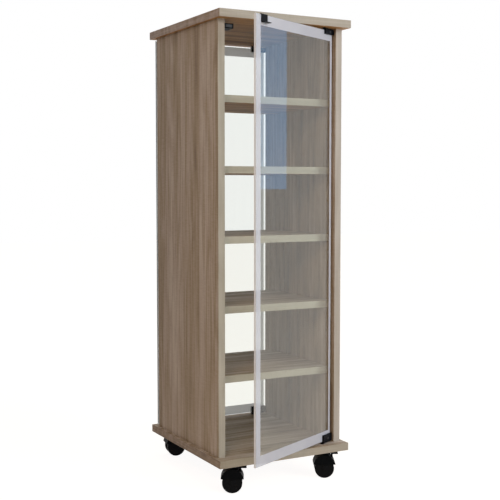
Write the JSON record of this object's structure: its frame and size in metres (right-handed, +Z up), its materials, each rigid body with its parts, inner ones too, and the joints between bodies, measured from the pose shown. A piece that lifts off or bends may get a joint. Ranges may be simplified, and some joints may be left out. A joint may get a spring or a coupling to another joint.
{
  "type": "media storage tower",
  "caption": "Tall open-backed disc case tower on swivel casters: wooden carcass with fixed shelves and a pivot-hung glass door at each end.",
  "frame": {"origin": "on the floor, under the middle of the box that holds the tower as it stands with its front door part open", "axes": "+Z up, +X to the right seen from the front, the front door towards -Y"},
  "size_m": [0.311, 0.4525, 0.9785],
  "materials": {
    "oak": "pale sawn-oak facing, satin",
    "glass": "clear float glass with a frosted border band",
    "black_metal": "satin black",
    "black_plastic": "moulded, fairly glossy black",
    "wheel_plastic": "moulded, matte near-black",
    "magnet": "dark sintered ferrite, stands in for iron",
    "steel": "bright zinc plated"
  },
  "bodies": {
    "carcass": {"base_panel": "oak", "left_side_panel": "oak", "right_side_panel": "oak", "top_panel": "oak", "shelf_1": "oak", "shelf_2": "oak", "shelf_3": "oak", "shelf_4": "oak", "shelf_5": "oak", "base_screw_front_left": "steel", "base_screw_front_right": "steel", "base_screw_rear_left": "steel", "base_screw_rear_right": "steel", "front_lower_pivot_bush": "black_plastic", "front_upper_pivot_bush": "black_plastic", "front_catch_housing": "black_plastic", "front_catch_magnet": "magnet", "rear_lower_pivot_bush": "black_plastic", "rear_upper_pivot_bush": "black_plastic", "rear_catch_housing": "black_plastic", "rear_catch_magnet": "magnet", "front_left_caster_plate": "black_metal", "front_right_caster_plate": "black_metal", "rear_left_caster_plate": "black_metal", "rear_right_caster_plate": "black_metal"},
    "front_door": {"front_door_glass": "glass", "front_door_pull_clip": "black_metal", "front_door_lower_hinge_clamp": "black_metal", "front_door_upper_hinge_clamp": "black_metal"},
    "rear_door": {"rear_door_glass": "glass", "rear_door_pull_clip": "black_metal", "rear_door_lower_hinge_clamp": "black_metal", "rear_door_upper_hinge_clamp": "black_metal"},
    "front_left_swivel": {"front_left_caster_hood": "black_plastic", "front_left_caster_axle": "steel"},
    "front_left_far_wheel": {"front_left_caster_far_wheel": "wheel_plastic"},
    "front_left_near_wheel": {"front_left_caster_near_wheel": "wheel_plastic"},
    "front_left_lever": {"front_left_brake_lever": "black_plastic"},
    "front_right_swivel": {"front_right_caster_hood": "black_plastic", "front_right_caster_axle": "steel"},
    "front_right_far_wheel": {"front_right_caster_far_wheel": "wheel_plastic"},
    "front_right_near_wheel": {"front_right_caster_near_wheel": "wheel_plastic"},
    "front_right_lever": {"front_right_brake_lever": "black_plastic"},
    "rear_left_swivel": {"rear_left_caster_hood": "black_plastic", "rear_left_caster_axle": "steel"},
    "rear_left_far_wheel": {"rear_left_caster_far_wheel": "wheel_plastic"},
    "rear_left_near_wheel": {"rear_left_caster_near_wheel": "wheel_plastic"},
    "rear_right_swivel": {"rear_right_caster_hood": "black_plastic", "rear_right_caster_axle": "steel"},
    "rear_right_far_wheel": {"rear_right_caster_far_wheel": "wheel_plastic"},
    "rear_right_near_wheel": {"rear_right_caster_near_wheel": "wheel_plastic"}
  },
  "joints": [
    {"name": "front_door_hinge", "type": "hinge", "parent": "carcass", "child": "front_door", "pos_m": [0.1005, -0.11161, 0.0725], "axis": [0, 0, 1], "range_deg": [-25.75, 84.25]},
    {"name": "rear_door_hinge", "type": "hinge", "parent": "carcass", "child": "rear_door", "pos_m": [0.1005, 0.20439, 0.0725], "axis": [0, 0, -1], "range_deg": [0, 110]},
    {"name": "front_left_caster_swivel", "type": "hinge", "parent": "carcass", "child": "front_left_swivel", "pos_m": [-0.112, -0.11211, 0.0565], "axis": [0, 0, 1], "continuous": true},
    {"name": "front_left_far_wheel_spin", "type": "hinge", "parent": "front_left_swivel", "child": "front_left_far_wheel", "pos_m": [-0.11684, -0.1095, 0.021], "axis": [-0.4741, -0.8805, 0], "continuous": true},
    {"name": "front_left_near_wheel_spin", "type": "hinge", "parent": "front_left_swivel", "child": "front_left_near_wheel", "pos_m": [-0.11684, -0.1095, 0.021], "axis": [-0.4741, -0.8805, 0], "continuous": true},
    {"name": "front_left_brake", "type": "hinge", "parent": "front_left_swivel", "child": "front_left_lever", "pos_m": [-0.10187, -0.11756, 0.0415], "axis": [0.4741, 0.8805, 0], "range_deg": [0, 12]},
    {"name": "front_right_caster_swivel", "type": "hinge", "parent": "carcass", "child": "front_right_swivel", "pos_m": [0.112, -0.11211, 0.0565], "axis": [0, 0, 1], "continuous": true},
    {"name": "front_right_far_wheel_spin", "type": "hinge", "parent": "front_right_swivel", "child": "front_right_far_wheel", "pos_m": [0.10716, -0.1095, 0.021], "axis": [-0.4741, -0.8805, 0], "continuous": true},
    {"name": "front_right_near_wheel_spin", "type": "hinge", "parent": "front_right_swivel", "child": "front_right_near_wheel", "pos_m": [0.10716, -0.1095, 0.021], "axis": [-0.4741, -0.8805, 0], "continuous": true},
    {"name": "front_right_brake", "type": "hinge", "parent": "front_right_swivel", "child": "front_right_lever", "pos_m": [0.12212, -0.11756, 0.0415], "axis": [0.4741, 0.8805, 0], "range_deg": [0, 12]},
    {"name": "rear_left_caster_swivel", "type": "hinge", "parent": "carcass", "child": "rear_left_swivel", "pos_m": [-0.112, 0.20489, 0.0565], "axis": [0, 0, 1], "continuous": true},
    {"name": "rear_left_far_wheel_spin", "type": "hinge", "parent": "rear_left_swivel", "child": "rear_left_far_wheel", "pos_m": [-0.10658, 0.20394, 0.021], "axis": [0.1736, 0.9848, 0], "continuous": true},
    {"name": "rear_left_near_wheel_spin", "type": "hinge", "parent": "rear_left_swivel", "child": "rear_left_near_wheel", "pos_m": [-0.10658, 0.20394, 0.021], "axis": [0.1736, 0.9848, 0], "continuous": true},
    {"name": "rear_right_caster_swivel", "type": "hinge", "parent": "carcass", "child": "rear_right_swivel", "pos_m": [0.112, 0.20489, 0.0565], "axis": [0, 0, 1], "continuous": true},
    {"name": "rear_right_far_wheel_spin", "type": "hinge", "parent": "rear_right_swivel", "child": "rear_right_far_wheel", "pos_m": [0.11738, 0.20604, 0.021], "axis": [-0.2079, 0.9781, 0], "continuous": true},
    {"name": "rear_right_near_wheel_spin", "type": "hinge", "parent": "rear_right_swivel", "child": "rear_right_near_wheel", "pos_m": [0.11738, 0.20604, 0.021], "axis": [-0.2079, 0.9781, 0], "continuous": true}
  ]
}
